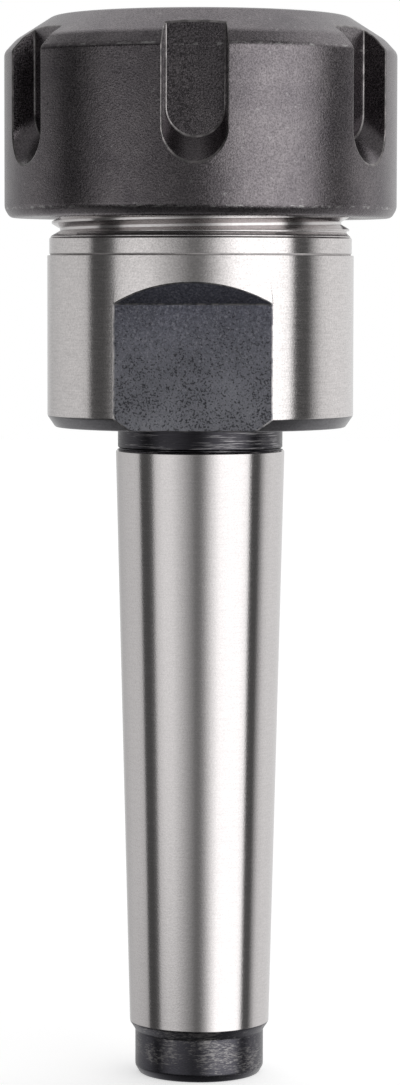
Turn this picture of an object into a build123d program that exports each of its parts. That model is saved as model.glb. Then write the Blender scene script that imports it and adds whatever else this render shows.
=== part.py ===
from build123d import *
import os
from math import cos, radians, sin, tan

# Collet chuck holder: a No. 2 self-holding taper shank with a collet socket, its
# slotted clamping nut, the extractor ring that runs in the nut, and a spring collet.
# Millimetres. The tail end stands on z = 0 and the axis of everything turned is +Z.

# Tail and taper shank
tail_diameter = 13.9
tail_length = 4.7
tail_edge_width = 0.45
tail_edge_height = 0.8
tail_step_height = 0.9
taper_rate = 1 / 20.020
taper_length = 62.15
taper_edge_break = 0.2
gauge_diameter = 17.78
gauge_below_top = 7.85
neck_diameter = 17.72
neck_length = 2.4

# Threaded hole for the drawbar, and the clearance bore above it
drawbar_drill_diameter = 8.5
drawbar_thread_length = 24.0
drawbar_run_out = 2.5
drawbar_mouth_chamfer = 0.9
clearance_bore_diameter = 10.5
drill_point_angle = 59.0

# Body with its two wrench flats
body_diameter = 32.87
body_length = 18.35
body_edge_width = 0.85
body_edge_height = 1.25
across_flats = 28.4
flat_height = 13.25
flat_ramp_angle = 45.0

# Groove, land and thread above the body
groove_width = 0.2
groove_depth = 0.1
land_above_thread = 0.27
land_length = 1.6
undercut_depth = 0.55
undercut_width = 0.12
nose_wall = 3.1
thread_length = 13.78
thread_start_chamfer = 0.3
nose_chamfer = 1.0

# Spring collet
collet_diameter = 26.0
collet_length = 34.0
collet_taper_angle = 8.0
collet_face_angle = 30.0
collet_face_width = 2.05
collet_head_width = 0.8
collet_groove_width = 2.6
collet_groove_depth = 1.6
collet_bore_diameter = 10.0
collet_bore_length = 25.0
collet_relief_diameter = 11.4
collet_bore_chamfer = 0.4
collet_slits_each_end = 8
collet_slit_width = 0.8
collet_slit_bridge_rear = 5.0
collet_slit_bridge_front = 7.6
collet_above_nose = 1.43

# Socket below the collet
socket_run_out = 2.0
socket_relief_depth = 1.9
socket_relief_width = 0.1

# Extractor ring
ring_flange_width = 1.65
ring_nose_width = 0.35
ring_lip_thickness = 1.6
ring_eccentricity = 0.75
ring_head_room = 0.35
ring_face_recess = 0.3

# Clamping nut
nut_wall = 4.95
nut_length = 21.4
nut_rear_edge_width = 0.6
nut_rear_edge_height = 0.95
nut_above_collet = 0.5
nut_cone_width = 3.9
nut_cone_height = 2.5
nut_edge_width = 1.3
nut_edge_height = 1.4
nut_front_wall = 2.7
nut_mouth_chamfer = 0.9
nut_thread_relief_length = 1.8
nut_thread_relief_depth = 0.3
nut_shoulder_above_nose = 0.8
nut_retaining_lip = 0.3
aperture_chamfer = 0.25

# Wrench slots round the nut
slot_count = 6
slot_floor_wall = 2.15
slot_floor_width = 6.2
slot_floor_end_height = 8.06
slot_side_draft = 6.1
slot_end_slope = 43.8
slot_clock_angle = 1.4

# Running gaps between the pieces, each measured square to the surfaces
thread_gap = 0.1
socket_gap = 0.05
ring_gap = 0.05
seat_gap = 0.05
lip_gap = 0.15

# How far a cutting shape runs out past what it cuts
cut_over = 1.0

# Radii that follow from the collet: its groove and face, the socket's mouth, and the
# thread round that mouth, which is a 32 mm thread of 1.5 mm pitch drawn as plain cylinders
collet_radius_max = collet_diameter / 2
collet_groove_radius = collet_radius_max - collet_groove_depth
collet_face_radius = collet_radius_max - collet_face_width
socket_wall = socket_gap / cos(radians(collet_taper_angle))
nose_inset = collet_above_nose * tan(radians(collet_taper_angle))
socket_mouth_radius = collet_radius_max - nose_inset + socket_wall
thread_radius = socket_mouth_radius + nose_wall
land_radius = thread_radius + land_above_thread
undercut_radius = thread_radius - undercut_depth
nut_bore_radius = thread_radius + thread_gap
ring_radius = collet_radius_max + ring_nose_width + ring_flange_width
ring_nose_radius = collet_radius_max + ring_nose_width
lip_bore_radius = collet_groove_radius + lip_gap + ring_eccentricity

# Heights that stack up from the tail end
z_taper_small = tail_length + tail_step_height
z_taper_top = z_taper_small + taper_length
z_gauge = z_taper_top - gauge_below_top
z_body = z_taper_top + neck_length
z_body_top = z_body + body_length
z_land = z_body_top + groove_width
z_land_top = z_land + land_length
z_undercut = z_land_top + land_radius - undercut_radius
z_thread = z_undercut + undercut_width
z_nose = z_thread + thread_length
z_collet_shoulder = z_nose + collet_above_nose
z_collet_head = z_collet_shoulder + collet_groove_width
z_collet_cone = z_collet_head + collet_head_width
collet_cone_height = collet_face_width / tan(radians(collet_face_angle))
z_collet_face = z_collet_cone + collet_cone_height
z_collet_rear = z_collet_face - collet_length
z_nut_face = z_collet_face + nut_above_collet
z_nut_rear = z_nut_face - nut_length
z_nut_wall = z_nut_face - nut_front_wall
z_lip = z_collet_shoulder + (collet_groove_width - ring_lip_thickness) / 2


def taper_radius(z):
    """Radius of the taper shank at height z."""
    return gauge_diameter / 2 + (z - z_gauge) * taper_rate / 2


def collet_radius(z):
    """Radius of the collet's long cone at height z."""
    return collet_radius_max - (z_collet_shoulder - z) * tan(radians(collet_taper_angle))


def turned(*points):
    """Solid turned about the axis from a half section given as (radius, height) points."""
    with BuildPart() as piece:
        with BuildSketch(Plane.XZ):
            with BuildLine():
                Polyline(*points, close=True)
            make_face()
        revolve(axis=Axis.Z)
    return piece.part


# Holder body: outside of the shank, neck, body, land and thread
body_radius = body_diameter / 2
outside = turned(
    (0, 0),
    (tail_diameter / 2 - tail_edge_width, 0),
    (tail_diameter / 2, tail_edge_height),
    (tail_diameter / 2, tail_length),
    (taper_radius(z_taper_small), z_taper_small),
    (taper_radius(z_taper_top - taper_edge_break), z_taper_top - taper_edge_break),
    (taper_radius(z_taper_top) - taper_edge_break, z_taper_top),
    (neck_diameter / 2, z_taper_top),
    (neck_diameter / 2, z_body),
    (body_radius - body_edge_width, z_body),
    (body_radius, z_body + body_edge_height),
    (body_radius, z_body_top),
    (land_radius - groove_depth, z_body_top),
    (land_radius - groove_depth, z_land),
    (land_radius, z_land),
    (land_radius, z_land_top),
    (undercut_radius, z_undercut),
    (undercut_radius, z_thread),
    (thread_radius, z_thread + thread_start_chamfer),
    (thread_radius, z_nose - nose_chamfer),
    (thread_radius - nose_chamfer, z_nose),
    (0, z_nose),
)

# Inside of the holder, from the tail up: threaded hole, clearance bore, relief, socket
drill_radius = drawbar_drill_diameter / 2
bore_radius = clearance_bore_diameter / 2
z_drill_end = drawbar_thread_length + drawbar_run_out
z_bore_start = z_drill_end + (bore_radius - drill_radius) / tan(radians(drill_point_angle))
z_socket_end = z_collet_rear - socket_run_out
z_relief = z_socket_end - socket_relief_depth
socket_end_radius = collet_radius(z_socket_end) + socket_wall
relief_radius = socket_end_radius + socket_relief_width
inside = turned(
    (0, 0),
    (drill_radius + drawbar_mouth_chamfer, 0),
    (drill_radius, drawbar_mouth_chamfer),
    (drill_radius, z_drill_end),
    (bore_radius, z_bore_start),
    (bore_radius, z_relief),
    (relief_radius, z_relief),
    (relief_radius, z_socket_end),
    (socket_end_radius, z_socket_end),
    (socket_mouth_radius, z_nose),
    (0, z_nose),
)

# Two wrench flats, open at the bottom, with a ramp where the cutter ran out at the top
flat_reach = body_radius + cut_over
z_flat_top = z_body + flat_height
z_ramp_top = z_flat_top + (flat_reach - across_flats / 2) * tan(radians(flat_ramp_angle))
with BuildPart() as flat_cut:
    with BuildSketch(Plane.YZ):
        with BuildLine():
            Polyline(
                (-across_flats / 2, z_body - cut_over),
                (-across_flats / 2, z_flat_top),
                (-flat_reach, z_ramp_top),
                (-flat_reach, z_body - cut_over),
                close=True,
            )
        make_face()
    extrude(amount=flat_reach, both=True)
    mirror(about=Plane.XZ)

holder_body = outside - inside - flat_cut.part

# Spring collet: long cone, extraction groove, steep front cone, bore and slits
collet_bore_radius = collet_bore_diameter / 2
z_collet_bore = z_collet_face - collet_bore_length
z_collet_relief = z_collet_bore - (collet_relief_diameter - collet_bore_diameter) / 2
blank = turned(
    (collet_relief_diameter / 2, z_collet_rear),
    (collet_radius(z_collet_rear), z_collet_rear),
    (collet_radius_max, z_collet_shoulder),
    (collet_groove_radius, z_collet_shoulder),
    (collet_groove_radius, z_collet_head),
    (collet_radius_max, z_collet_head),
    (collet_radius_max, z_collet_cone),
    (collet_face_radius, z_collet_face),
    (collet_bore_radius + collet_bore_chamfer, z_collet_face),
    (collet_bore_radius, z_collet_face - collet_bore_chamfer),
    (collet_bore_radius, z_collet_bore),
    (collet_relief_diameter / 2, z_collet_relief),
)


def slits(z_low, z_high, start_angle):
    """One ring of saw cuts from z_low to z_high, out through the collet's wall."""
    cut = Box(
        collet_radius_max + cut_over,
        collet_slit_width,
        z_high - z_low,
        align=(Align.MIN, Align.CENTER, Align.MIN),
    )
    places = PolarLocations(0, collet_slits_each_end, start_angle=start_angle)
    return [Pos(0, 0, z_low) * place * cut for place in places]


half_pitch = 360 / collet_slits_each_end / 2
front_slits = slits(z_collet_rear + collet_slit_bridge_rear, z_collet_face + cut_over, 0)
rear_slits = slits(z_collet_rear - cut_over, z_collet_face - collet_slit_bridge_front, half_pitch)
spring_collet = blank - front_slits - rear_slits


# Extractor ring: steep seat on the collet's front cone, and a lip set off centre that
# reaches into the collet's groove on one side and lets its head pass on the other
def seat_radius(z):
    """Radius of the ring's seat at height z, its gap clear of the collet's front cone."""
    wall = seat_gap / cos(radians(collet_face_angle))
    return collet_radius_max - (z - z_collet_cone) * tan(radians(collet_face_angle)) + wall


ring_room_radius = collet_radius_max + ring_head_room
z_lip_top = z_lip + ring_lip_thickness
z_flange_top = z_nut_wall - ring_gap
z_ring_face = z_nut_face - ring_face_recess
ring_blank = turned(
    (seat_radius(z_ring_face), z_ring_face),
    (ring_nose_radius, z_ring_face),
    (ring_nose_radius, z_flange_top),
    (ring_radius, z_flange_top),
    (ring_radius, z_lip),
    (seat_radius(z_ring_face), z_lip),
    (seat_radius(z_ring_face), z_lip_top),
    (ring_room_radius, z_lip_top),
    (ring_room_radius, z_collet_cone),
    (seat_radius(z_collet_cone), z_collet_cone),
)
lip_bore = Cylinder(
    lip_bore_radius,
    z_collet_cone - z_lip + cut_over,
    align=(Align.CENTER, Align.CENTER, Align.MAX),
)
extractor_ring = ring_blank - Pos(ring_eccentricity, 0, z_collet_cone) * lip_bore

# Clamping nut: turned outside and thread bore, with a recess that traps the ring
nut_radius = nut_bore_radius + nut_wall
nut_cone_radius = nut_radius - nut_edge_width
recess_radius = ring_radius + ring_gap
aperture_radius = ring_nose_radius + ring_gap
z_recess = z_lip - ring_gap
z_shoulder = z_nose + nut_shoulder_above_nose
z_nut_cone = z_nut_face - nut_cone_height
z_nut_relief = z_shoulder - nut_thread_relief_length
nut_blank = turned(
    (nut_bore_radius + nut_mouth_chamfer, z_nut_rear),
    (nut_radius - nut_rear_edge_width, z_nut_rear),
    (nut_radius, z_nut_rear + nut_rear_edge_height),
    (nut_radius, z_nut_cone - nut_edge_height),
    (nut_cone_radius, z_nut_cone),
    (nut_cone_radius - nut_cone_width, z_nut_face),
    (aperture_radius + aperture_chamfer, z_nut_face),
    (aperture_radius, z_nut_face - aperture_chamfer),
    (aperture_radius, z_nut_wall),
    (recess_radius, z_nut_wall),
    (recess_radius, z_recess),
    (recess_radius - nut_retaining_lip, z_recess),
    (recess_radius - nut_retaining_lip, z_shoulder),
    (nut_bore_radius + nut_thread_relief_depth, z_shoulder),
    (nut_bore_radius + nut_thread_relief_depth, z_nut_relief),
    (nut_bore_radius, z_nut_relief),
    (nut_bore_radius, z_nut_rear + nut_mouth_chamfer),
)

# Wrench slots: flat floor, drafted sides and a sloping round end, open at the nut's face
slot_floor_distance = nut_bore_radius + slot_floor_wall


def slot_outline(distance):
    """Round-ended slot outline on a plane at this distance in front of the axis."""
    depth = distance - slot_floor_distance
    half = slot_floor_width / 2 + depth * tan(radians(slot_side_draft))
    end = z_nut_rear + slot_floor_end_height - depth * tan(radians(slot_end_slope))
    top = z_nut_face + cut_over
    with BuildSketch(Plane((0, -distance, 0), x_dir=(1, 0, 0), z_dir=(0, -1, 0))) as outline:
        with BuildLine():
            Line((half, top), (-half, top))
            Line((-half, top), (-half, end + half))
            ThreePointArc((-half, end + half), (0, end), (half, end + half))
            Line((half, end + half), (half, top))
        make_face()
    return outline.sketch


slot_cut = loft([slot_outline(slot_floor_distance), slot_outline(nut_radius + cut_over)], ruled=True)
slot_places = PolarLocations(0, slot_count, start_angle=slot_clock_angle)
clamping_nut = nut_blank - [place * slot_cut for place in slot_places]

# One STEP file for each piece
os.makedirs("parts", exist_ok=True)
pieces = {
    "holder_body": holder_body,
    "clamping_nut": clamping_nut,
    "extractor_ring": extractor_ring,
    "spring_collet": spring_collet,
}
for name, piece in pieces.items():
    piece.label = name
    export_step(piece, f"parts/{name}.step")
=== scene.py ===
# %% [markdown]
# # A collet chuck holder, turned and milled in Blender
#
# The real holder is almost all lathe work: a hardened steel shank with a self-holding
# taper, a body that is threaded at its nose, and a black slotted nut that presses a
# spring collet into the body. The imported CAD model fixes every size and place. This
# lesson makes each piece again as a machinist would, turning it first and then cutting
# flats, slots and threads, so that its edges are broken and its threads are real.

# %% Load the CAD frame
from math import atan2, cos, degrees, pi, radians, sin, tan

import bmesh
import bpy
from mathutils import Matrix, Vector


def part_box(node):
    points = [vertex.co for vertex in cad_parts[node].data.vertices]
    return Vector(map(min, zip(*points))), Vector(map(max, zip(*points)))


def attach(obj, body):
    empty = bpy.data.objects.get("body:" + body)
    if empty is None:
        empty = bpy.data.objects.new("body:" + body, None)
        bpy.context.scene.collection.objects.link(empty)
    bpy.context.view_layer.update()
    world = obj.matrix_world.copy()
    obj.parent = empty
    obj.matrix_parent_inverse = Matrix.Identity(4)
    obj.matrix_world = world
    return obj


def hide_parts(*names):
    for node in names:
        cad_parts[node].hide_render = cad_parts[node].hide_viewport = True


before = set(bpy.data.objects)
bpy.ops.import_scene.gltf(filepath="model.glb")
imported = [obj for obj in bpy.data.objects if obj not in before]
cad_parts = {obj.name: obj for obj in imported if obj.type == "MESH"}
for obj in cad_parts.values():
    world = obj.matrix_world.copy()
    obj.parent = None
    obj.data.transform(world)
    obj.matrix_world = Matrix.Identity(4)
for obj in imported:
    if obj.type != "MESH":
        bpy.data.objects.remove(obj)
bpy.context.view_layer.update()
MM = 0.001
for node in sorted(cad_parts):
    low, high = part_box(node)
    print(node, "from", round(low[2] / MM, 2), "to", round(high[2] / MM, 2), "mm high")

# %% [markdown]
# Every operator works on what is selected, and the frame arrives selected. So the first
# helpers put Blender into a known state: one piece selected and active, in object mode
# or in edit mode. Selecting inside a mesh is done by place, with a rule for its points.

# %% Helpers: one piece at a time
SAME_PLACE = 1e-3  # millimetres


def only(piece):
    """Leaves edit mode and selects this piece alone, or nothing."""
    if bpy.context.object and bpy.context.object.mode != "OBJECT":
        bpy.ops.object.mode_set(mode="OBJECT")
    bpy.ops.object.select_all(action="DESELECT")
    if piece:
        piece.select_set(True)
        bpy.context.view_layer.objects.active = piece


def edit(piece, mode="VERT"):
    """Opens one piece for editing, with everything in it selected."""
    only(piece)
    bpy.ops.object.mode_set(mode="EDIT")
    bpy.ops.mesh.select_mode(type=mode)
    bpy.ops.mesh.select_all(action="SELECT")


def done(piece):
    """Back to object mode, with the place in the mesh and the object at the origin."""
    only(piece)
    bpy.ops.object.transform_apply(location=True, rotation=True, scale=True)
    return piece


def pick_points(piece, rule):
    """Selects the points of the open piece whose place, in millimetres, fits the rule."""
    bpy.ops.mesh.select_all(action="DESELECT")
    shape = bmesh.from_edit_mesh(piece.data)
    count = 0
    for point in shape.verts:
        if rule(*(point.co / MM)):
            point.select = True
            count += 1
    shape.select_flush(True)
    bmesh.update_edit_mesh(piece.data)
    return count


# %% [markdown]
# ## Turning
#
# A turned piece is a half section swept once round its axis. The section starts as a
# single point: a small plane merged at its centre. The point is extruded from corner to
# corner, the last corner is joined to the first, and the corners are rounded with a
# vertex bevel, just as a lathe tool's nose leaves them. The spin tool then sweeps the
# section round Z. A section with a hole through the middle never touches the axis, so
# the result is a closed ring with no pole to pinch. Each piece gets two empty material
# slots at once, so that its broken edges can be told from the rest of its surface later.

# %% Helpers: draw a section and spin it
SURFACE, BROKEN_EDGE = 0, 1
NEARLY_STRAIGHT = radians(172)


def draw_section(name, corners):
    """Draws a closed half section through (radius, height) corners in millimetres."""
    only(None)
    bpy.ops.mesh.primitive_plane_add(size=MM)
    piece = bpy.context.object
    piece.name = name
    for slot in (SURFACE, BROKEN_EDGE):
        piece.data.materials.append(None)
    edit(piece)
    bpy.ops.mesh.merge(type="CENTER")
    radius, height = corners[0]
    bpy.ops.transform.translate(value=(radius * MM, 0, height * MM))
    for (r0, z0), (r1, z1) in zip(corners, corners[1:]):
        step = ((r1 - r0) * MM, 0, (z1 - z0) * MM)
        bpy.ops.mesh.extrude_vertices_move(TRANSFORM_OT_translate={"value": step})
    ends = (corners[0], corners[-1])
    pick_points(
        piece, lambda x, y, z: any(abs(x - r) + abs(z - h) < SAME_PLACE for r, h in ends)
    )
    bpy.ops.mesh.edge_face_add()
    return piece


def round_corners(piece, radius):
    """Rounds each corner of the open section whose two sides leave room for the radius."""
    bpy.ops.mesh.select_all(action="DESELECT")
    shape = bmesh.from_edit_mesh(piece.data)
    count = 0
    for point in shape.verts:
        sides = [side.other_vert(point).co - point.co for side in point.link_edges]
        room = min(side.length for side in sides) > 2.2 * radius * MM
        if room and sides[0].angle(sides[1]) < NEARLY_STRAIGHT:
            point.select = True
            count += 1
    shape.select_flush(True)
    bmesh.update_edit_mesh(piece.data)
    bpy.ops.mesh.bevel(offset=radius * MM, segments=4, affect="VERTICES", clamp_overlap=True)
    return count


def spin_section(piece, steps):
    """Sweeps the open section once round Z and closes the seam."""
    bpy.ops.mesh.select_all(action="SELECT")
    bpy.ops.mesh.spin(steps=steps, angle=2 * pi, center=(0, 0, 0), axis=(0, 0, 1))
    bpy.ops.mesh.select_all(action="SELECT")
    bpy.ops.mesh.remove_doubles(threshold=0.001 * MM)
    bpy.ops.mesh.normals_make_consistent(inside=False)
    only(piece)
    return piece


# %% [markdown]
# ## Cutting, and breaking edges
#
# Milling is a Boolean difference: the cutter is a piece of its own that is taken away
# from the work and then deleted. A milled edge on a real tool is never quite sharp, and
# the thin bright lines along the nut's slots in the photograph are exactly such edges.
# So the sharp edges that a cut leaves are found by their angle and place and bevelled.

# %% Helpers: cut, break the edges, smooth
SMOOTH_BELOW = radians(32)


def cut_away(piece, cutter):
    """Takes the cutter's shape out of the piece and deletes the cutter."""
    only(piece)
    cut = piece.modifiers.new("cut", "BOOLEAN")
    cut.operation = "DIFFERENCE"
    cut.solver = "EXACT"
    cut.object = cutter
    bpy.ops.object.modifier_apply(modifier=cut.name)
    bpy.data.objects.remove(cutter, do_unlink=True)


def break_edges(piece, width, rule, segments=2, sharp=24):
    """Bevels the piece's sharp edges whose middle, in millimetres, fits the rule."""
    edit(piece, "EDGE")
    bpy.ops.mesh.select_all(action="DESELECT")
    shape = bmesh.from_edit_mesh(piece.data)
    count = 0
    for side in shape.edges:
        if len(side.link_faces) == 2 and side.calc_face_angle() > radians(sharp):
            middle = (side.verts[0].co + side.verts[1].co) / 2 / MM
            if rule(*middle):
                side.select = True
                count += 1
    bmesh.update_edit_mesh(piece.data)
    bpy.ops.mesh.bevel(
        offset=width * MM,
        segments=segments,
        affect="EDGES",
        clamp_overlap=False,
        material=BROKEN_EDGE,
    )
    only(piece)
    return count


def smooth(piece):
    """Smooth shading that stops at the broken edges, so that they don't stain the faces."""
    only(piece)
    bpy.ops.object.shade_smooth_by_angle(angle=SMOOTH_BELOW)
    edit(piece, "EDGE")
    bpy.ops.mesh.select_all(action="DESELECT")
    shape = bmesh.from_edit_mesh(piece.data)
    for side in shape.edges:
        side.select = len({face.material_index for face in side.link_faces}) > 1
    bmesh.update_edit_mesh(piece.data)
    bpy.ops.mesh.mark_sharp()
    only(piece)
    weights = piece.modifiers.new("weights", "WEIGHTED_NORMAL")
    weights.keep_sharp = True
    weights.weight = 60
    bpy.ops.object.modifier_apply(modifier=weights.name)
    low = [round(min(v.co[i] for v in piece.data.vertices) / MM, 2) for i in range(3)]
    high = [round(max(v.co[i] for v in piece.data.vertices) / MM, 2) for i in range(3)]
    print(piece.name, len(piece.data.polygons), "faces, from", low, "to", high)


# %% [markdown]
# ## Threads
#
# A thread is one groove that climbs by its pitch in each turn. The groove's section is a
# trapezium with 60 degrees between its flanks, wide at the surface and narrow at the
# root. The Screw modifier sweeps it up the axis, the two open ends are filled, and the
# helix is cut out of the plain cylinder. The holder's groove and the nut's groove start
# half a pitch apart, so that the nut's ridge runs in the holder's groove at every turn.
# The groove runs out at the back left of the undercut, as it does in the photograph.

# %% Helper: a helical groove to cut with
THREAD_PITCH = 1.5
FLANK = tan(radians(30))
THREAD_START = radians(150)
OVERCUT = 0.12  # how far past the surface the groove opens


def thread_groove(name, surface_radius, root_radius, root_width, start, turns, compass=0.0):
    """A helical groove that opens past surface_radius, from this height and angle upwards."""
    outward = 1 if surface_radius > root_radius else -1
    open_radius = surface_radius + OVERCUT * outward
    depth = abs(open_radius - root_radius)
    open_width = root_width + 2 * depth * FLANK
    only(None)
    bpy.ops.mesh.primitive_plane_add(
        size=1,
        location=((open_radius + root_radius) / 2 * MM, 0, start * MM),
        rotation=(pi / 2, 0, 0),
    )
    groove = bpy.context.object
    groove.name = name
    groove.scale = (depth * MM, open_width * MM, 1)
    done(groove)
    edit(groove)
    pick_points(groove, lambda x, y, z: abs(x - root_radius) < SAME_PLACE)
    squeeze = root_width / open_width
    bpy.ops.transform.resize(value=(1, 1, squeeze), center_override=(0, 0, start * MM))
    bpy.ops.mesh.select_all(action="SELECT")
    bpy.ops.mesh.delete(type="ONLY_FACE")
    only(groove)
    screw = groove.modifiers.new("screw", "SCREW")
    screw.axis = "Z"
    screw.angle = 2 * pi
    screw.screw_offset = THREAD_PITCH * MM
    screw.iterations = turns
    screw.steps = screw.render_steps = 96
    bpy.ops.object.modifier_apply(modifier=screw.name)
    edit(groove)
    bpy.ops.mesh.remove_doubles(threshold=0.0005 * MM)
    bpy.ops.mesh.select_all(action="SELECT")
    bpy.ops.mesh.fill_holes(sides=4)
    bpy.ops.mesh.select_all(action="SELECT")
    bpy.ops.mesh.normals_make_consistent(inside=False)
    only(groove)
    groove.rotation_euler.z = compass
    done(groove)
    lowest = min(v.co.z for v in groove.data.vertices) / MM
    highest = max(v.co.z for v in groove.data.vertices) / MM
    print(name, turns, "turns from", round(lowest, 2), "to", round(highest, 2), "mm")
    return groove


# %% [markdown]
# ## The holder body
#
# From the tail up: a plain round tail that stands on the floor, the No. 2 self-holding
# taper (1:20.020 on the diameter), a relieved neck, the body, a fine groove, a narrow
# land, an undercut and the nose with the nut's thread. Inside are the tapped hole for
# the drawbar, a clearance bore and the 8-degree socket. It is one piece of steel, so it
# is one section and one spin.

# %% Holder body: the section
GAUGE_DIAMETER, Z_GAUGE, TAPER_RATE = 17.78, 59.9, 20.020


def taper_radius(z):
    """Radius of the self-holding taper: 17.780 mm across at its gauge plane."""
    return GAUGE_DIAMETER / 2 + (z - Z_GAUGE) / TAPER_RATE / 2


TAIL_RADIUS, NECK_RADIUS, NECK_FOOT_RADIUS = 6.95, 8.86, 8.7
Z_TAPER_SMALL, Z_TAPER_TOP, Z_NECK_TOP = 5.6, 67.75, 70.15
BODY_RADIUS, Z_CHAMFER_TOP, Z_BODY_TOP = 32.87 / 2, 71.4, 88.5
FLAT_DISTANCE, Z_FLAT_TOP = 14.2, 83.4
LAND_RADIUS, Z_LAND_TOP = 16.22, 90.3
UNDERCUT_RADIUS, Z_THREAD = 15.66, 91.1
THREAD_RADIUS, ROOT_RADIUS, Z_NOSE = 15.95, 15.08, 105.02
DRILL_RADIUS, Z_DRILL_END, BORE_RADIUS, Z_BORE = 4.25, 26.5, 5.25, 27.1
SOCKET_MOUTH_RADIUS, SOCKET_END_RADIUS, Z_SOCKET_END = 12.85, 8.97, 77.4
SOCKET_RELIEF_RADIUS, Z_SOCKET_RELIEF = 9.07, 75.5

holder_corners = [
    (6.5, 0),
    (TAIL_RADIUS, 0.8),
    (TAIL_RADIUS, 4.7),
    (taper_radius(Z_TAPER_SMALL), Z_TAPER_SMALL),
    (taper_radius(Z_TAPER_TOP - 0.2), Z_TAPER_TOP - 0.2),
    (taper_radius(Z_TAPER_TOP) - 0.2, Z_TAPER_TOP),
    (NECK_FOOT_RADIUS, Z_TAPER_TOP),
    (NECK_FOOT_RADIUS, Z_TAPER_TOP + 0.14),
    (NECK_RADIUS, Z_TAPER_TOP + 0.26),
    (NECK_RADIUS, Z_NECK_TOP),
    (BODY_RADIUS - 0.85, Z_NECK_TOP),
    (BODY_RADIUS, Z_CHAMFER_TOP),
    (BODY_RADIUS, Z_FLAT_TOP - 0.3),
    (BODY_RADIUS, Z_FLAT_TOP + 2.5),
    (BODY_RADIUS, Z_BODY_TOP),
    (LAND_RADIUS - 0.1, Z_BODY_TOP),
    (LAND_RADIUS - 0.1, Z_BODY_TOP + 0.2),
    (LAND_RADIUS, Z_BODY_TOP + 0.2),
    (LAND_RADIUS, Z_LAND_TOP),
    (LAND_RADIUS - 0.16, Z_LAND_TOP + 0.14),
    (LAND_RADIUS - 0.16, Z_LAND_TOP + 0.23),
    (UNDERCUT_RADIUS, Z_LAND_TOP + 0.07 + LAND_RADIUS - UNDERCUT_RADIUS),
    (UNDERCUT_RADIUS, Z_THREAD),
    (THREAD_RADIUS, Z_THREAD + 0.04),
    (THREAD_RADIUS, Z_NOSE - 1),
    (THREAD_RADIUS - 1, Z_NOSE),
    (SOCKET_MOUTH_RADIUS, Z_NOSE),
    (SOCKET_END_RADIUS, Z_SOCKET_END),
    (SOCKET_RELIEF_RADIUS, Z_SOCKET_END),
    (SOCKET_RELIEF_RADIUS, Z_SOCKET_RELIEF),
    (BORE_RADIUS, Z_SOCKET_RELIEF),
    (BORE_RADIUS, Z_BORE),
    (DRILL_RADIUS, Z_DRILL_END),
    (DRILL_RADIUS, 0.9),
    (DRILL_RADIUS + 0.9, 0),
]
holder = draw_section("holder_body_turned", holder_corners)
for radius in (0.15, 0.05):
    print("rounded", round_corners(holder, radius), "corners to", radius, "mm")

# %% Holder body: spin it
spin_section(holder, 320)

# %% [markdown]
# The two wrench flats are milled: each is a block taken out of the body, open at the
# bottom. The cutter leaves a 45-degree ramp at the top. The block is a cube whose outer
# top edge is pulled up to make that ramp, and a copy turned half round cuts the back.

# %% Holder body: mill the wrench flats
flat_reach = BODY_RADIUS + 1
flat_low = Z_NECK_TOP - 1
only(None)
bpy.ops.mesh.primitive_cube_add(
    size=1,
    location=(0, -(FLAT_DISTANCE + flat_reach) / 2 * MM, (flat_low + Z_FLAT_TOP) / 2 * MM),
    scale=(40 * MM, (flat_reach - FLAT_DISTANCE) * MM, (Z_FLAT_TOP - flat_low) * MM),
)
flat_cutter = done(bpy.context.object)
edit(flat_cutter)
pick_points(flat_cutter, lambda x, y, z: y < -flat_reach + 0.01 and z > Z_FLAT_TOP - 0.01)
bpy.ops.transform.translate(value=(0, 0, (flat_reach - FLAT_DISTANCE) * MM))
bpy.ops.mesh.select_all(action="SELECT")
bpy.ops.mesh.duplicate()
bpy.ops.transform.rotate(value=pi, orient_axis="Z", center_override=(0, 0, 0))
cut_away(holder, flat_cutter)

# %% Holder body: break the milled edges, then cut the threads
def on_flat(x, y, z):
    """True at the outline and the ramp of either flat."""
    return abs(y) > FLAT_DISTANCE - 0.05 and Z_NECK_TOP - 0.1 < z < Z_FLAT_TOP + 3


Z_GROOVE = 91.1
print("flats:", break_edges(holder, 0.1, on_flat), "edges broken")
nose_groove = thread_groove(
    "nose_groove",
    THREAD_RADIUS,
    ROOT_RADIUS,
    root_width=0.26,
    start=Z_GROOVE,
    turns=10,
    compass=THREAD_START,
)
cut_away(holder, nose_groove)
drawbar_groove = thread_groove(
    "drawbar_groove", DRILL_RADIUS, 5.0, root_width=0.19, start=-THREAD_PITCH, turns=17
)
cut_away(holder, drawbar_groove)

# %% [markdown]
# ## The clamping nut
#
# The nut is turned too, with a thread in its bore and a recess that traps the extractor
# ring. Its face falls away as a shallow cone, with a steeper step at the rim. Six slots
# for a hook wrench are milled from the face. Each slot has a flat floor, slightly
# drafted sides and a round lower end that slopes outwards where the cutter was lifted.

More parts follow.
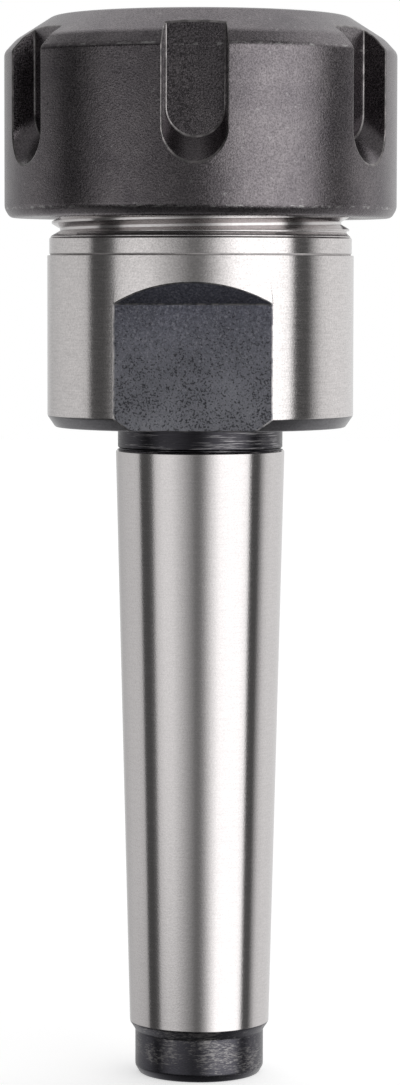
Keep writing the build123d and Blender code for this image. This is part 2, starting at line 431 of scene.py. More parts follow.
# %% Clamping nut: the section and the spin
Z_NUT_REAR, Z_NUT_FACE, NUT_RADIUS = 92.5, 113.9, 21.0
Z_LOWER_RIDGE, Z_UPPER_RIDGE = Z_NUT_REAR + 0.95, Z_NUT_FACE - 3.9
NUT_CREST_RADIUS, NUT_ROOT_RADIUS, NUT_RELIEF_RADIUS = 15.3, 16.05, 16.35
APERTURE_RADIUS, RECESS_RADIUS, RECESS_LIP_RADIUS = 13.4, 15.05, 14.75
Z_RECESS_FRONT, Z_RECESS, Z_SHOULDER, Z_RELIEF = Z_NUT_FACE - 2.7, 106.9, 105.82, 104.02
nut_corners = [
    (NUT_ROOT_RADIUS + 0.9, Z_NUT_REAR),
    (NUT_RADIUS - 0.6, Z_NUT_REAR),
    (NUT_RADIUS, Z_LOWER_RIDGE),
    (NUT_RADIUS, Z_UPPER_RIDGE),
    (NUT_RADIUS - 1.3, Z_NUT_FACE - 2.5),
    (NUT_RADIUS - 5.2, Z_NUT_FACE),
    (APERTURE_RADIUS + 0.25, Z_NUT_FACE),
    (APERTURE_RADIUS, Z_NUT_FACE - 0.25),
    (APERTURE_RADIUS, Z_RECESS_FRONT),
    (RECESS_RADIUS, Z_RECESS_FRONT),
    (RECESS_RADIUS, Z_RECESS),
    (RECESS_LIP_RADIUS, Z_RECESS),
    (RECESS_LIP_RADIUS, Z_SHOULDER),
    (NUT_RELIEF_RADIUS, Z_SHOULDER),
    (NUT_RELIEF_RADIUS, Z_RELIEF),
    (NUT_CREST_RADIUS, Z_RELIEF),
    (NUT_CREST_RADIUS, Z_NUT_REAR + 1.65),
]
nut = draw_section("clamping_nut_slotted", nut_corners)
for radius in (0.35, 0.08):
    print("rounded", round_corners(nut, radius), "corners to", radius, "mm")
spin_section(nut, 240)

# %% [markdown]
# A slot's cutter starts as a round disc as wide as the slot's floor. Its upper half is
# pulled up past the nut's face, which makes the floor's outline. That face is extruded
# outwards, widened for the draft and moved down for the slope of the round end. The spin
# tool, told to duplicate, sets six of them round the axis.

# %% Clamping nut: one slot cutter, then six
SLOT_FLOOR, SLOT_HALF, SLOT_END = 18.2, 3.1, Z_NUT_REAR + 8.06
SLOT_DRAFT, SLOT_SLOPE, SLOT_CLOCK = radians(6.1), radians(43.8), radians(1.4)
slot_reach = NUT_RADIUS + 1 - SLOT_FLOOR
slot_centre = SLOT_END + SLOT_HALF
wide_half = SLOT_HALF + slot_reach * tan(SLOT_DRAFT)
wide_centre = SLOT_END - slot_reach * tan(SLOT_SLOPE) + wide_half
only(None)
bpy.ops.mesh.primitive_circle_add(
    vertices=80,
    radius=SLOT_HALF * MM,
    fill_type="NGON",
    location=(0, -SLOT_FLOOR * MM, slot_centre * MM),
    rotation=(pi / 2, 0, 0),
)
slot_cutter = done(bpy.context.object)
edit(slot_cutter)
pick_points(slot_cutter, lambda x, y, z: z > slot_centre + 0.01)
bpy.ops.transform.translate(value=(0, 0, (Z_NUT_FACE + 1 - slot_centre) * MM))
bpy.ops.mesh.select_all(action="SELECT")
bpy.ops.mesh.extrude_region_move(TRANSFORM_OT_translate={"value": (0, -slot_reach * MM, 0)})
bpy.ops.transform.resize(
    value=(wide_half / SLOT_HALF, 1, wide_half / SLOT_HALF),
    center_override=(0, 0, slot_centre * MM),
)
bpy.ops.transform.translate(value=(0, 0, (wide_centre - slot_centre) * MM))
bpy.ops.mesh.select_all(action="SELECT")
bpy.ops.mesh.normals_make_consistent(inside=False)
bpy.ops.mesh.spin(steps=5, angle=radians(300), dupli=True, center=(0, 0, 0), axis=(0, 0, 1))
only(slot_cutter)
slot_cutter.rotation_euler.z = SLOT_CLOCK
done(slot_cutter)
print("six slots:", len(slot_cutter.data.polygons), "cutter faces")
cut_away(nut, slot_cutter)

# %% Clamping nut: break the slot edges and cut the thread
def in_slot(x, y, z):
    """True on a slot's floor, sides and rim, and not on the turned rims between slots."""
    around = (atan2(y, x) - SLOT_CLOCK + pi / 2) % (pi / 3)
    off_centre = min(around, pi / 3 - around)
    radius = (x * x + y * y) ** 0.5
    return radius > SLOT_FLOOR - 0.5 and z > 97 and radius * sin(off_centre) < 3.75


print("slots:", break_edges(nut, 0.15, in_slot, segments=3), "edges broken")
nut_groove = thread_groove(
    "nut_groove",
    NUT_CREST_RADIUS,
    NUT_ROOT_RADIUS,
    root_width=0.19,
    start=Z_GROOVE - THREAD_PITCH / 2,
    turns=9,
    compass=THREAD_START,
)
cut_away(nut, nut_groove)

# %% [markdown]
# ## The extractor ring
#
# The ring turns freely in the nut. Its steep cone bears on the collet's face, and the
# lip behind it is bored off centre, so that the collet's head can be tilted in on one
# side and is pulled out by the other. It is turned first and then bored.

# %% Extractor ring
RING_OFFSET, LIP_BORE_RADIUS = 0.75, 12.3
RING_BORE_RADIUS, RING_NOSE_RADIUS, FLANGE_RADIUS = 10.893, 13.35, 15.0
Z_RING_FACE, Z_FLANGE, Z_RING_REAR = 113.6, 111.15, 106.95
Z_LIP_FRONT, Z_SEAT, SEAT_RADIUS = 108.55, 109.85, 13.058
ring_corners = [
    (RING_BORE_RADIUS, Z_RING_FACE),
    (RING_NOSE_RADIUS, Z_RING_FACE),
    (RING_NOSE_RADIUS, Z_FLANGE),
    (FLANGE_RADIUS, Z_FLANGE),
    (FLANGE_RADIUS, Z_RING_REAR),
    (RING_BORE_RADIUS, Z_RING_REAR),
    (RING_BORE_RADIUS, Z_LIP_FRONT),
    (RING_NOSE_RADIUS, Z_LIP_FRONT),
    (RING_NOSE_RADIUS, Z_SEAT),
    (SEAT_RADIUS, Z_SEAT),
]
ring = draw_section("extractor_ring_turned", ring_corners)
round_corners(ring, 0.08)
spin_section(ring, 192)
only(None)
bpy.ops.mesh.primitive_cylinder_add(
    vertices=192,
    radius=LIP_BORE_RADIUS * MM,
    depth=3.5 * MM,
    location=(RING_OFFSET * MM, 0, 107.5 * MM),
)
cut_away(ring, done(bpy.context.object))

# %% [markdown]
# ## The spring collet
#
# The collet's long 8-degree cone closes as it is pressed into the socket. Sixteen saw
# cuts make it springy, eight from each end, each stopping short of the other end. The
# saw cut is a thin plate, set eight times round the axis and lifted for the other end.

# %% Spring collet: turned blank
Z_COLLET_FACE, Z_COLLET_REAR, SAW_WIDTH = 113.4, 79.4, 0.8
COLLET_BORE_RADIUS, REAR_BORE_RADIUS = 5.0, 5.7
HEAD_RADIUS, GROOVE_RADIUS, Z_GROOVE_REAR, Z_GROOVE_FRONT = 13.0, 11.4, 106.45, 109.05
collet_corners = [
    (REAR_BORE_RADIUS, Z_COLLET_REAR),
    (9.198, Z_COLLET_REAR),
    (HEAD_RADIUS, Z_GROOVE_REAR),
    (GROOVE_RADIUS, Z_GROOVE_REAR),
    (GROOVE_RADIUS, Z_GROOVE_FRONT),
    (HEAD_RADIUS, Z_GROOVE_FRONT),
    (HEAD_RADIUS, Z_SEAT),
    (10.95, Z_COLLET_FACE),
    (COLLET_BORE_RADIUS + 0.4, Z_COLLET_FACE),
    (COLLET_BORE_RADIUS, Z_COLLET_FACE - 0.4),
    (COLLET_BORE_RADIUS, 88.4),
    (REAR_BORE_RADIUS, 87.7),
]
collet = draw_section("spring_collet_slit", collet_corners)
round_corners(collet, 0.12)
spin_section(collet, 192)


# %% Spring collet: saw cuts from both ends
def saw_cuts(z_low, z_high, turned):
    """Eight thin plates round the axis, from z_low to z_high, turned by an angle."""
    only(None)
    bpy.ops.mesh.primitive_cube_add(
        size=1,
        location=(8.5 * MM, 0, (z_low + z_high) / 2 * MM),
        scale=(11 * MM, SAW_WIDTH * MM, (z_high - z_low) * MM),
    )
    plates = done(bpy.context.object)
    edit(plates)
    bpy.ops.mesh.spin(steps=7, angle=radians(315), dupli=True, center=(0, 0, 0), axis=(0, 0, 1))
    only(plates)
    plates.rotation_euler.z = turned
    return done(plates)


cut_away(collet, saw_cuts(Z_COLLET_REAR + 5, Z_COLLET_FACE + 1, 0))
cut_away(collet, saw_cuts(Z_COLLET_REAR - 1, Z_COLLET_FACE - 7.6, radians(22.5)))
print("saw cuts:", break_edges(collet, 0.05, lambda x, y, z: True, sharp=50), "edges broken")

# %% Smooth the four pieces
for piece in (holder, nut, ring, collet):
    smooth(piece)

# %% [markdown]
# ## Finishes
#
# Every finish is procedural and reads Object coordinates, which are the frame's metres.
# All of it is bare or blackened steel, so every finish is a metal. What differs is how
# much it reflects, how rough it is, and which marks the work left on it. A few helpers
# make the usual steps: a noise, one arithmetic step, a ramp, a blend of two colours, and
# a ramp whose steel is lighter in one grain than in the next.

# %% Helpers: the steps of a finish
def new_finish(name):
    """A metal. Returns the material, its nodes, its links and its shader."""
    finish = bpy.data.materials.new(name)
    finish.use_nodes = True
    nodes, links = finish.node_tree.nodes, finish.node_tree.links
    shader = nodes["Principled BSDF"]
    shader.inputs["Metallic"].default_value = 1.0
    return finish, nodes, links, shader


def noise(nodes, links, scale, detail=2.0, roughness=0.5):
    """Noise of so many features to the metre: one number, or one for each axis."""
    place = nodes.new("ShaderNodeTexCoord")
    mapping = nodes.new("ShaderNodeMapping")
    mapping.inputs["Scale"].default_value = scale if isinstance(scale, tuple) else (scale,) * 3
    grain = nodes.new("ShaderNodeTexNoise")
    grain.inputs["Scale"].default_value = 1.0
    grain.inputs["Detail"].default_value = detail
    grain.inputs["Roughness"].default_value = roughness
    links.new(place.outputs["Object"], mapping.inputs["Vector"])
    links.new(mapping.outputs["Vector"], grain.inputs["Vector"])
    return grain.outputs["Fac"]


def height_above(nodes, links):
    """The height of each place of the surface, in metres."""
    place = nodes.new("ShaderNodeTexCoord")
    split = nodes.new("ShaderNodeSeparateXYZ")
    links.new(place.outputs["Object"], split.inputs["Vector"])
    return split.outputs["Z"]


def reckon(nodes, links, operation, first, second=0.0):
    """One arithmetic step between two sockets or numbers."""
    step = nodes.new("ShaderNodeMath")
    step.operation = operation
    for socket, value in zip(step.inputs, (first, second)):
        if isinstance(value, (int, float)):
            socket.default_value = value
        else:
            links.new(value, socket)
    return step.outputs["Value"]


def ramp(nodes, links, source, stops):
    """A colour ramp over the source, from (place, grey or colour) stops."""
    band = nodes.new("ShaderNodeValToRGB")
    points = band.color_ramp.elements
    while len(points) < len(stops):
        points.new(0.5)
    for point, (place, shade) in zip(points, stops):
        point.position = place
        point.color = (*shade, 1) if isinstance(shade, tuple) else (shade, shade, shade, 1)
    links.new(source, band.inputs["Fac"])
    return band.outputs["Color"]


def blend(nodes, links, factor, first, second):
    """Mixes two colours, each a socket or a colour, by the factor socket."""
    mix = nodes.new("ShaderNodeMix")
    mix.data_type = "RGBA"
    links.new(factor, mix.inputs["Factor"])
    for socket, value in ((mix.inputs["A"], first), (mix.inputs["B"], second)):
        if isinstance(value, tuple):
            socket.default_value = (*value, 1)
        else:
            links.new(value, socket)
    return mix.outputs["Result"]


def grainy_ramp(nodes, links, source, stops, grain, contrast):
    """A ramp over the source whose colours differ from grain to grain by this contrast."""
    shades = []
    for share in (1 - contrast, 1 + contrast):
        scaled = [(place, tuple(c * share for c in shade)) for place, shade in stops]
        shades.append(ramp(nodes, links, source, scaled))
    return blend(nodes, links, ramp(nodes, links, grain, [(0.36, 0.0), (0.64, 1.0)]), *shades)


def bump(nodes, links, source, shader, height):
    """Raises the surface by this height, in millimetres, where the source is 1."""
    lift = nodes.new("ShaderNodeBump")
    lift.inputs["Strength"].default_value = 1.0
    lift.inputs["Distance"].default_value = height * MM
    links.new(source, lift.inputs["Height"])
    links.new(lift.outputs["Normal"], shader.inputs["Normal"])


# %% [markdown]
# The ground steel mirrors the room in soft upright bands. The grit left a fine grain that
# shows where a band ends, and short rings round the work. Both are shallow, so they are a
# slight bump and a few hundredths of lighter and darker steel.

# %% Finish: ground steel, and the rougher steel of grooves and threads
def make_bright_steel(name, shade, roughness, grain_depth, contrast=0.08):
    """Bare steel with grinding rings, and a grain of this depth in millimetres."""
    finish, nodes, links, shader = new_finish(name)
    rings = noise(nodes, links, (500, 500, 7000), detail=3.0, roughness=0.6)
    grain = noise(nodes, links, 5200, detail=2.0, roughness=0.6)
    marks = reckon(nodes, links, "ADD", rings, reckon(nodes, links, "MULTIPLY", grain, 1.5))
    marks = reckon(nodes, links, "MULTIPLY", marks, 0.4)
    darker = tuple(c * (1 - contrast) for c in shade)
    lighter = tuple(c * (1 + contrast) for c in shade)
    steel = ramp(nodes, links, marks, [(0.35, darker), (0.65, lighter)])
    links.new(steel, shader.inputs["Base Color"])
    rough = ramp(nodes, links, rings, [(0.3, roughness * 0.85), (0.7, roughness * 1.2)])
    links.new(rough, shader.inputs["Roughness"])
    bump(nodes, links, grain, shader, grain_depth)
    return finish


STEEL = (0.64, 0.615, 0.612)
taper_steel = make_bright_steel("taper_steel", STEEL, 0.12, 0.004)
body_steel = make_bright_steel("body_steel", (0.67, 0.642, 0.636), 0.12, 0.004, 0.18)
chamfer_black = make_bright_steel("chamfer_black", (0.145, 0.142, 0.15), 0.2, 0.006, 0.3)
groove_steel = make_bright_steel("groove_steel", STEEL, 0.55, 0.008)
undercut_steel = make_bright_steel("undercut_steel", STEEL, 0.22, 0.004, 0.12)
thread_steel = make_bright_steel("thread_steel", STEEL, 0.12, 0.003, 0.1)
bore_steel = make_bright_steel("bore_steel", (0.45, 0.44, 0.44), 0.32, 0.008, 0.12)
turned_ring = make_bright_steel("turned_ring", (0.56, 0.55, 0.55), 0.24, 0.006, 0.1)
ground_collet = make_bright_steel("ground_collet", (0.66, 0.65, 0.64), 0.18, 0.004, 0.08)


# %% [markdown]
# The nut is blackened over a fine grain, which shows most on the floors of its slots. The
# blackening has worn off in flecks along its two turned ridges, where it knocks against
# the bench, so a mask by height lets the bright steel through there. The edges of its
# slots are worn all along.

# %% Finish: the blackened nut
WORN_BAND = 0.13


def make_nut_black(name, contrast):
    """Satin black steel with a fine grain, painted glints, and flecks of wear along the ridges."""
    finish, nodes, links, shader = new_finish(name)
    grain = noise(nodes, links, 6000, detail=2.0, roughness=0.6)
    cloud = noise(nodes, links, 170, detail=4.0, roughness=0.7)
    stops = [(0.32, (0.138, 0.1255, 0.135)), (0.68, (0.198, 0.181, 0.189))]
    black = grainy_ramp(nodes, links, cloud, stops, grain, contrast)
    specks = noise(nodes, links, 2300, detail=1.0)
    # Painted glints: lighter specks painted into the black's colour stand in for sparkles of
    # reflected light.
    painted_glints = ramp(nodes, links, specks, [(0.68, 0.0), (0.8, 0.55)])
    black = blend(nodes, links, painted_glints, black, (0.34, 0.33, 0.33))
    pits = ramp(nodes, links, specks, [(0.16, 1.0), (0.24, 0.0)])
    black = blend(nodes, links, pits, black, (0.05, 0.05, 0.055))
    height = height_above(nodes, links)
    near = []
    for ridge in (Z_UPPER_RIDGE, Z_LOWER_RIDGE):
        above = reckon(nodes, links, "SUBTRACT", height, ridge * MM)
        away = reckon(nodes, links, "ABSOLUTE", above)
        near.append(reckon(nodes, links, "LESS_THAN", away, WORN_BAND * MM))
    ridges = reckon(nodes, links, "MAXIMUM", *near)
    flecks = ramp(nodes, links, noise(nodes, links, (1200, 1200, 2500)), [(0.5, 0.0), (0.65, 1.0)])
    worn = reckon(nodes, links, "MULTIPLY", ridges, flecks)
    links.new(blend(nodes, links, worn, black, (0.36, 0.35, 0.35)), shader.inputs["Base Color"])
    rough = ramp(nodes, links, grain, [(0.3, 0.22), (0.7, 0.32)])
    links.new(rough, shader.inputs["Roughness"])
    bump(nodes, links, grain, shader, 0.018)
    return finish


nut_black = make_nut_black("nut_black", 0.32)
slot_black = make_nut_black("slot_black", 0.48)


# %% Finish: worn edges
def make_worn_edge(name, dull, bright):
    """An edge where the blackening is thin, and gone in places."""
    finish, nodes, links, shader = new_finish(name)
    wear = noise(nodes, links, 1300)
    links.new(ramp(nodes, links, wear, [(0.4, dull), (0.65, bright)]), shader.inputs["Base Color"])
    shader.inputs["Roughness"].default_value = 0.32
    return finish


slot_floor_edge = make_worn_edge("slot_floor_edge", (0.2, 0.19, 0.19), (0.38, 0.36, 0.36))
slot_rim = make_worn_edge("slot_rim", (0.15, 0.145, 0.145), (0.28, 0.26, 0.26))
flat_edge = make_worn_edge("flat_edge", (0.22, 0.22, 0.24), (0.6, 0.58, 0.58))


# %% [markdown]
# The flats are blue-black and a little rougher than the nut, with small dark pits that
# grow denser towards the bottom. The neck and the tail are turned and then blackened, so
# they keep the tool's rings, and these have rubbed bright in streaks. The streaks fade
# over the last few millimetres of the tail.

# %% Finish: the blackened flats
def make_flat_black():
    """Blue-black milled steel, with painted shading that runs lighter downwards, and pits that
    grow denser downwards.
    """
    finish, nodes, links, shader = new_finish("flat_black")
    grain = noise(nodes, links, 4200, detail=3.0, roughness=0.7)
    cloud = noise(nodes, links, 160, detail=3.0)
    fall = nodes.new("ShaderNodeMapRange")
    fall.inputs["From Min"].default_value = Z_FLAT_TOP * MM
    fall.inputs["From Max"].default_value = Z_NECK_TOP * MM
    links.new(height_above(nodes, links), fall.inputs["Value"])
    low = fall.outputs["Result"]
    crowd = ramp(nodes, links, low, [(0.05, 0.0), (0.45, 0.19), (0.7, 0.22), (1.0, 0.18)])
    crowd = reckon(nodes, links, "MULTIPLY", reckon(nodes, links, "ADD", crowd, cloud), 0.5)

    def marks(features, detail, stops):
        """Spots of this many to the metre, more of them where they crowd."""
        spots = noise(nodes, links, features, detail=detail, roughness=0.6)
        return ramp(nodes, links, reckon(nodes, links, "ADD", spots, crowd), stops)

    mottle = marks(4200, 3.0, [(0.74, 0.0), (0.98, 0.75)])
    pits = marks(4600, 1.0, [(0.9, 0.0), (1.0, 1.0)])
    # Painted shading: the flat's colour is darkest at the ramp on top and grows lighter towards
    # the bottom.
    stops = [(0.0, (0.186, 0.189, 0.234)), (1.0, (0.46, 0.463, 0.505))]
    black = grainy_ramp(nodes, links, low, stops, grain, 0.38)
    black = blend(nodes, links, mottle, black, (0.13, 0.132, 0.15))
    black = blend(nodes, links, pits, black, (0.085, 0.085, 0.095))
    specks = ramp(nodes, links, grain, [(0.54, 0.0), (0.68, 0.7)])
    links.new(blend(nodes, links, specks, black, (0.45, 0.45, 0.5)), shader.inputs["Base Color"])
    links.new(ramp(nodes, links, grain, [(0.3, 0.4), (0.7, 0.55)]), shader.inputs["Roughness"])
    bump(nodes, links, reckon(nodes, links, "SUBTRACT", grain, mottle), shader, 0.016)
    return finish


flat_black = make_flat_black()


# %% Finish: the blackened turning of the neck and the tail
RUB_FADE = 3


def make_turned_black(name, dark, rubbed, amount, length):
    """Blackened turning with rings round it, rubbed bright by this amount. The rings
    break up after this many to the metre: few for long rings, many for short streaks."""
    finish, nodes, links, shader = new_finish(name)
    rings = noise(nodes, links, (length, length, 7000), detail=4.0, roughness=0.75)
    patch = noise(nodes, links, (220, 220, 300), detail=2.0)
    seen = reckon(nodes, links, "MULTIPLY", rings, reckon(nodes, links, "ADD", patch, 0.5))
    rise = nodes.new("ShaderNodeMapRange")
    rise.inputs["From Max"].default_value = RUB_FADE * MM
    rise.inputs["To Min"].default_value = 0.8
    links.new(height_above(nodes, links), rise.inputs["Value"])
    seen = reckon(nodes, links, "MULTIPLY", seen, rise.outputs["Result"])
    streaks = ramp(nodes, links, seen, [(0.62 - amount, 0.0), (0.76 - amount, 1.0)])
    links.new(blend(nodes, links, streaks, dark, rubbed), shader.inputs["Base Color"])
    links.new(ramp(nodes, links, rings, [(0.3, 0.22), (0.7, 0.38)]), shader.inputs["Roughness"])
    bump(nodes, links, rings, shader, 0.006)
    return finish


neck_black = make_turned_black("neck_black", (0.05, 0.048, 0.055), (0.36, 0.35, 0.36), 0.09, 250)
tail_black = make_turned_black("tail_black", (0.075, 0.073, 0.085), (0.28, 0.27, 0.27), 0.12, 1500)

# %% [markdown]
# The holder has several finishes on one piece: the taper, the body and the land were
# ground bright after blackening, and the tail, the neck and the flats stayed black. So
# each face gets its finish by where it lies and which way it faces.

# %% Give the finishes to the faces
def paint(piece, choose):
    """Gives each face the finish that choose() names from its place, direction and kind."""
    wanted = []
    for face in piece.data.polygons:
        broken = face.material_index == BROKEN_EDGE
        wanted.append(choose(face.center / MM, face.normal, broken))
    finishes = sorted(set(wanted), key=lambda finish: finish.name)
    piece.data.materials.clear()
    for finish in finishes:
        piece.data.materials.append(finish)
    for face, finish in zip(piece.data.polygons, wanted):
        face.material_index = finishes.index(finish)
    print(piece.name, {finish.name: wanted.count(finish) for finish in finishes})


def holder_finish(place, facing, broken):
    """The finish of a face of the holder."""
    radius = (place.x ** 2 + place.y ** 2) ** 0.5
    if broken:
        return flat_edge
    if radius < BORE_RADIUS + 0.1:
        return bore_steel
    if place.z > Z_LAND_TOP + 0.05 and radius > SOCKET_MOUTH_RADIUS + 0.05:
        return thread_steel if place.z > Z_THREAD - 0.02 else undercut_steel
    if place.z < Z_TAPER_SMALL + 0.05:
        return tail_black
    if Z_TAPER_TOP - 0.02 < place.z < Z_NECK_TOP + 0.05:
        return neck_black
    if Z_NECK_TOP + 0.02 < place.z < Z_CHAMFER_TOP - 0.01 and facing.z < -0.2:
        return chamfer_black
    if Z_BODY_TOP - 0.02 < place.z < Z_BODY_TOP + 0.22:
        return groove_steel
    on_the_flat = FLAT_DISTANCE - 0.05 < abs(place.y) and radius < BODY_RADIUS - 0.015
    if on_the_flat and Z_NECK_TOP < place.z < Z_FLAT_TOP + 3 and abs(facing.x) < 0.05:
        return flat_black
    return taper_steel if place.z < Z_NECK_TOP else body_steel


def nut_finish(place, facing, broken):
    """The finish of a face of the nut: the broken edges are worn, most of all on the floors."""
    radius = (place.x ** 2 + place.y ** 2) ** 0.5
    if not broken:
        in_a_slot = place.z > SLOT_END - 4 and SLOT_FLOOR - 0.1 < radius < NUT_RADIUS - 0.3
        return slot_black if in_a_slot and abs(facing.z) < 0.1 else nut_black
    return slot_floor_edge if radius < SLOT_FLOOR + 0.9 else slot_rim


paint(holder, holder_finish)
paint(nut, nut_finish)
paint(ring, lambda place, facing, broken: turned_ring)
paint(collet, lambda place, facing, broken: ground_collet)

# %% [markdown]
# ## Joining the frame
#
# Each piece rides on the CAD body that it belongs to and stands for its CAD node. When
# the nut is unscrewed it rises by its pitch in each turn, and takes the collet and the
# extractor ring up with it.

# %% Ride on the bodies
for piece, body, node, finish in (
    (holder, "holder", "holder_body", "ground_steel"),
    (nut, "nut", "clamping_nut", "black_oxide_steel"),
    (ring, "collet", "extractor_ring", "ring_steel"),
    (collet, "collet", "spring_collet", "collet_steel"),
):
    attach(piece, body)
    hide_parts(node)
    print(piece.name, "rides on", body)

# %% [markdown]
# ## Light
#
# The photograph is a studio shot on white. A ground cylinder shows it like a map: a soft
# light on the left, a brighter one on the right, a dark gap beside each of them, and the
# white paper behind. The world holds that room. The left light is a low strip and the
# right one is tall, which the blackened nut shows: being rough it gathers light from well
# above and below the horizon, and it is dim on the left. So one ramp over the compass
# direction paints the walls near the horizon, and another paints them further up and down.
# The ceiling is bright behind, dim above the camera and dark at the upper left. The
# table below is bright behind the holder and falls to black in front of it. Rays from the
# camera see plain white instead.

# %% The room's light, as bands round the compass
CAMERA_TURN = radians(3.1)
NEAR_HORIZON = [
    (-180, 0.75), (-150, 0.55), (-125, 0.68), (-104, 0.72), (-94, 0.66), (-89, 0.09),
    (-77, 0.085), (-70.5, 0.16), (-64, 0.8), (-53, 0.99), (-40, 0.98), (-30, 0.76),
    (-17, 0.45), (-6, 0.2), (0, 0.22), (6, 0.42), (17, 1.05), (28, 1.56),
    (41, 1.66), (60, 1.64), (69.4, 1.4), (75.4, 0.085), (88.3, 0.09), (96.2, 0.5),
    (103.5, 0.8), (116, 0.9), (150, 0.85), (180, 0.75),
]
HIGH_AND_LOW = [
    (-180, 0.75), (-140, 0.6), (-120, 0.3), (-104, 0.08), (-86, 0.04), (-20, 0.04),
    (2, 0.1), (12, 0.5), (26, 1.9), (66, 1.9), (77, 0.15), (90, 0.15),
    (105, 0.7), (150, 0.85), (180, 0.75),
]
TABLE = [
    (-0.5, 0.86), (-0.29, 0.49), (-0.1, 0.33), (0.07, 0.24), (0.25, 0.12), (0.44, 0.075),
]
CEILING, OVERHEAD, UPPER_LEFT = 1.0, 0.3, 0.25


def make_room():
    """A world of soft upright light bands under a ceiling, and white to the camera."""
    world = bpy.data.worlds.new("studio")
    bpy.context.scene.world = world
    world.use_nodes = True
    nodes, links = world.node_tree.nodes, world.node_tree.links
    nodes.clear()
    output = nodes.new("ShaderNodeOutputWorld")
    place = nodes.new("ShaderNodeTexCoord")
    turn_sin, turn_cos = sin(CAMERA_TURN), cos(CAMERA_TURN)
    axes = {
        "ahead": (turn_sin, -turn_cos, 0),
        "right": (turn_cos, turn_sin, 0),
        "up": (0, 0, 1),
        "overhead": (-0.05, -0.6, 0.8),
        "upper left": (-0.81, 0.2, 0.55),
    }
    along = {}
    for name, axis in axes.items():
        dot = nodes.new("ShaderNodeVectorMath")
        dot.operation = "DOT_PRODUCT"
        dot.inputs[1].default_value = axis
        links.new(place.outputs["Generated"], dot.inputs[0])
        along[name] = dot.outputs["Value"]

    def from_zero_to_one(value, span):
        """Moves a value that runs from -span to span into a ramp's range."""
        return reckon(nodes, links, "ADD", reckon(nodes, links, "DIVIDE", value, 2 * span), 0.5)

    turn = from_zero_to_one(reckon(nodes, links, "ARCTAN2", along["right"], along["ahead"]), pi)
    rise = from_zero_to_one(along["up"], 1)
    overhead = from_zero_to_one(along["overhead"], 1)
    upper_left = from_zero_to_one(along["upper left"], 1)
    brightest = max(light for angle, light in NEAR_HORIZON + HIGH_AND_LOW)

    def bands(stops):
        """A ramp round the compass, from (degrees, light) stops."""
        turns = [((angle + 180) / 360, light / brightest) for angle, light in stops]
        return ramp(nodes, links, turn, turns)

    ceiling, patch, corner = (light / brightest for light in (CEILING, OVERHEAD, UPPER_LEFT))
    spread = ramp(nodes, links, rise, [(0.3, 1.0), (0.41, 0.0), (0.508, 0.0), (0.54, 1.0)])
    painted = blend(nodes, links, spread, bands(NEAR_HORIZON), bands(HIGH_AND_LOW))
    below = ramp(nodes, links, rise, [(0.165, 1.0), (0.32, 0.0)])
    forward = from_zero_to_one(along["ahead"], 1)
    table = ramp(nodes, links, forward, [(a / 2 + 0.5, light / brightest) for a, light in TABLE])
    painted = blend(nodes, links, below, painted, table)
    above = ramp(nodes, links, rise, [(0.7, 0.0), (0.79, 1.0)])
    front = ramp(nodes, links, overhead, [(0.77, ceiling), (0.84, patch)])
    side = ramp(nodes, links, upper_left, [(0.895, ceiling), (0.95, corner)])
    painted = blend(nodes, links, above, painted, reckon(nodes, links, "MINIMUM", front, side))
    room = nodes.new("ShaderNodeBackground")
    room.inputs["Strength"].default_value = brightest
    links.new(painted, room.inputs["Color"])
    paper = nodes.new("ShaderNodeBackground")
    paper.inputs["Color"].default_value = (1, 1, 1, 1)
    rays = nodes.new("ShaderNodeLightPath")
    seen = nodes.new("ShaderNodeMixShader")
    links.new(rays.outputs["Is Camera Ray"], seen.inputs["Fac"])
    links.new(room.outputs["Background"], seen.inputs[1])
    links.new(paper.outputs["Background"], seen.inputs[2])
    links.new(seen.outputs["Shader"], output.inputs["Surface"])
    for name, stops in (("near the horizon", NEAR_HORIZON), ("high and low", HIGH_AND_LOW)):
        areas = [(b - a) * (p + q) / 2 for (a, p), (b, q) in zip(stops, stops[1:])]
        print("mean light", name, round(sum(areas) / 360, 2))


make_room()

# %% [markdown]
# The floor is a pale disc. To the camera it is lifted to paper white, and it still keeps
# a faint contact shadow. Shiny steel looks past it, because the photograph's bands run
# all the way down the taper.

# %% The floor
FLOOR_RADIUS, FLOOR_GLOW = 1.6, 0.57


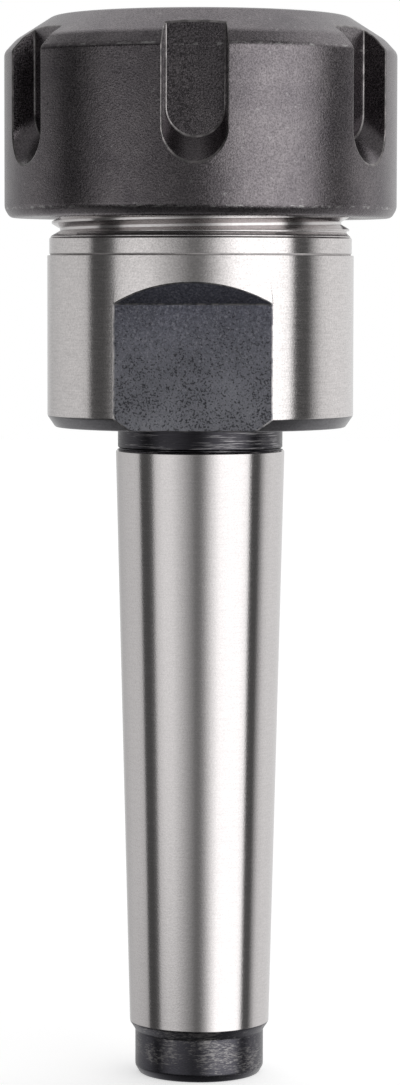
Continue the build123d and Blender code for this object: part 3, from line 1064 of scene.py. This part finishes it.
def make_floor():
    """A pale round floor at the tail's end."""
    only(None)
    bpy.ops.mesh.primitive_circle_add(vertices=96, radius=FLOOR_RADIUS, fill_type="NGON")
    floor = bpy.context.object
    floor.name = "floor"
    finish, nodes, links, shader = new_finish("pale_floor")
    shader.inputs["Metallic"].default_value = 0.0
    shader.inputs["Base Color"].default_value = (0.86, 0.86, 0.86, 1)
    shader.inputs["Roughness"].default_value = 0.9
    shader.inputs["Specular IOR Level"].default_value = 0.0
    glow = nodes.new("ShaderNodeEmission")
    glow.inputs["Strength"].default_value = FLOOR_GLOW
    both = nodes.new("ShaderNodeAddShader")
    rays = nodes.new("ShaderNodeLightPath")
    lit = nodes.new("ShaderNodeMixShader")
    clear = nodes.new("ShaderNodeBsdfTransparent")
    seen = nodes.new("ShaderNodeMixShader")
    links.new(shader.outputs["BSDF"], both.inputs[0])
    links.new(glow.outputs["Emission"], both.inputs[1])
    links.new(rays.outputs["Is Camera Ray"], lit.inputs["Fac"])
    links.new(shader.outputs["BSDF"], lit.inputs[1])
    links.new(both.outputs["Shader"], lit.inputs[2])
    links.new(rays.outputs["Is Glossy Ray"], seen.inputs["Fac"])
    links.new(lit.outputs["Shader"], seen.inputs[1])
    links.new(clear.outputs["BSDF"], seen.inputs[2])
    links.new(seen.outputs["Shader"], nodes["Material Output"].inputs["Surface"])
    floor.data.materials.append(finish)


make_floor()

# %% [markdown]
# ## Camera
#
# The camera's place was solved from the photograph's ellipses: 407 mm from the axis and
# 86 mm above the tail's end, looking 4 degrees down, a little to the right of the front
# flat.

# %% The camera
CAMERA_DISTANCE, CAMERA_HEIGHT, CAMERA_PITCH, CAMERA_ROLL = 406.9, 86.16, 4.01, 0.1
FOCAL_PIXELS, LONG_SIDE, SENSOR = 3780, 1085, 36
bpy.ops.object.camera_add(
    location=(
        CAMERA_DISTANCE * sin(CAMERA_TURN) * MM,
        -CAMERA_DISTANCE * cos(CAMERA_TURN) * MM,
        CAMERA_HEIGHT * MM,
    ),
    rotation=(radians(90 - CAMERA_PITCH), 0, CAMERA_TURN),
)
camera = bpy.context.object
camera.name = "camera"
camera.rotation_euler.rotate_axis("Z", radians(CAMERA_ROLL))
camera.data.sensor_width = SENSOR
camera.data.lens = FOCAL_PIXELS * SENSOR / LONG_SIDE
camera.data.clip_start = 0.01
bpy.context.scene.camera = camera
print("lens", round(camera.data.lens, 1), "mm, turned", round(degrees(CAMERA_TURN), 1), "degrees")

# %% Colour
bpy.context.scene.view_settings.view_transform = "Standard"
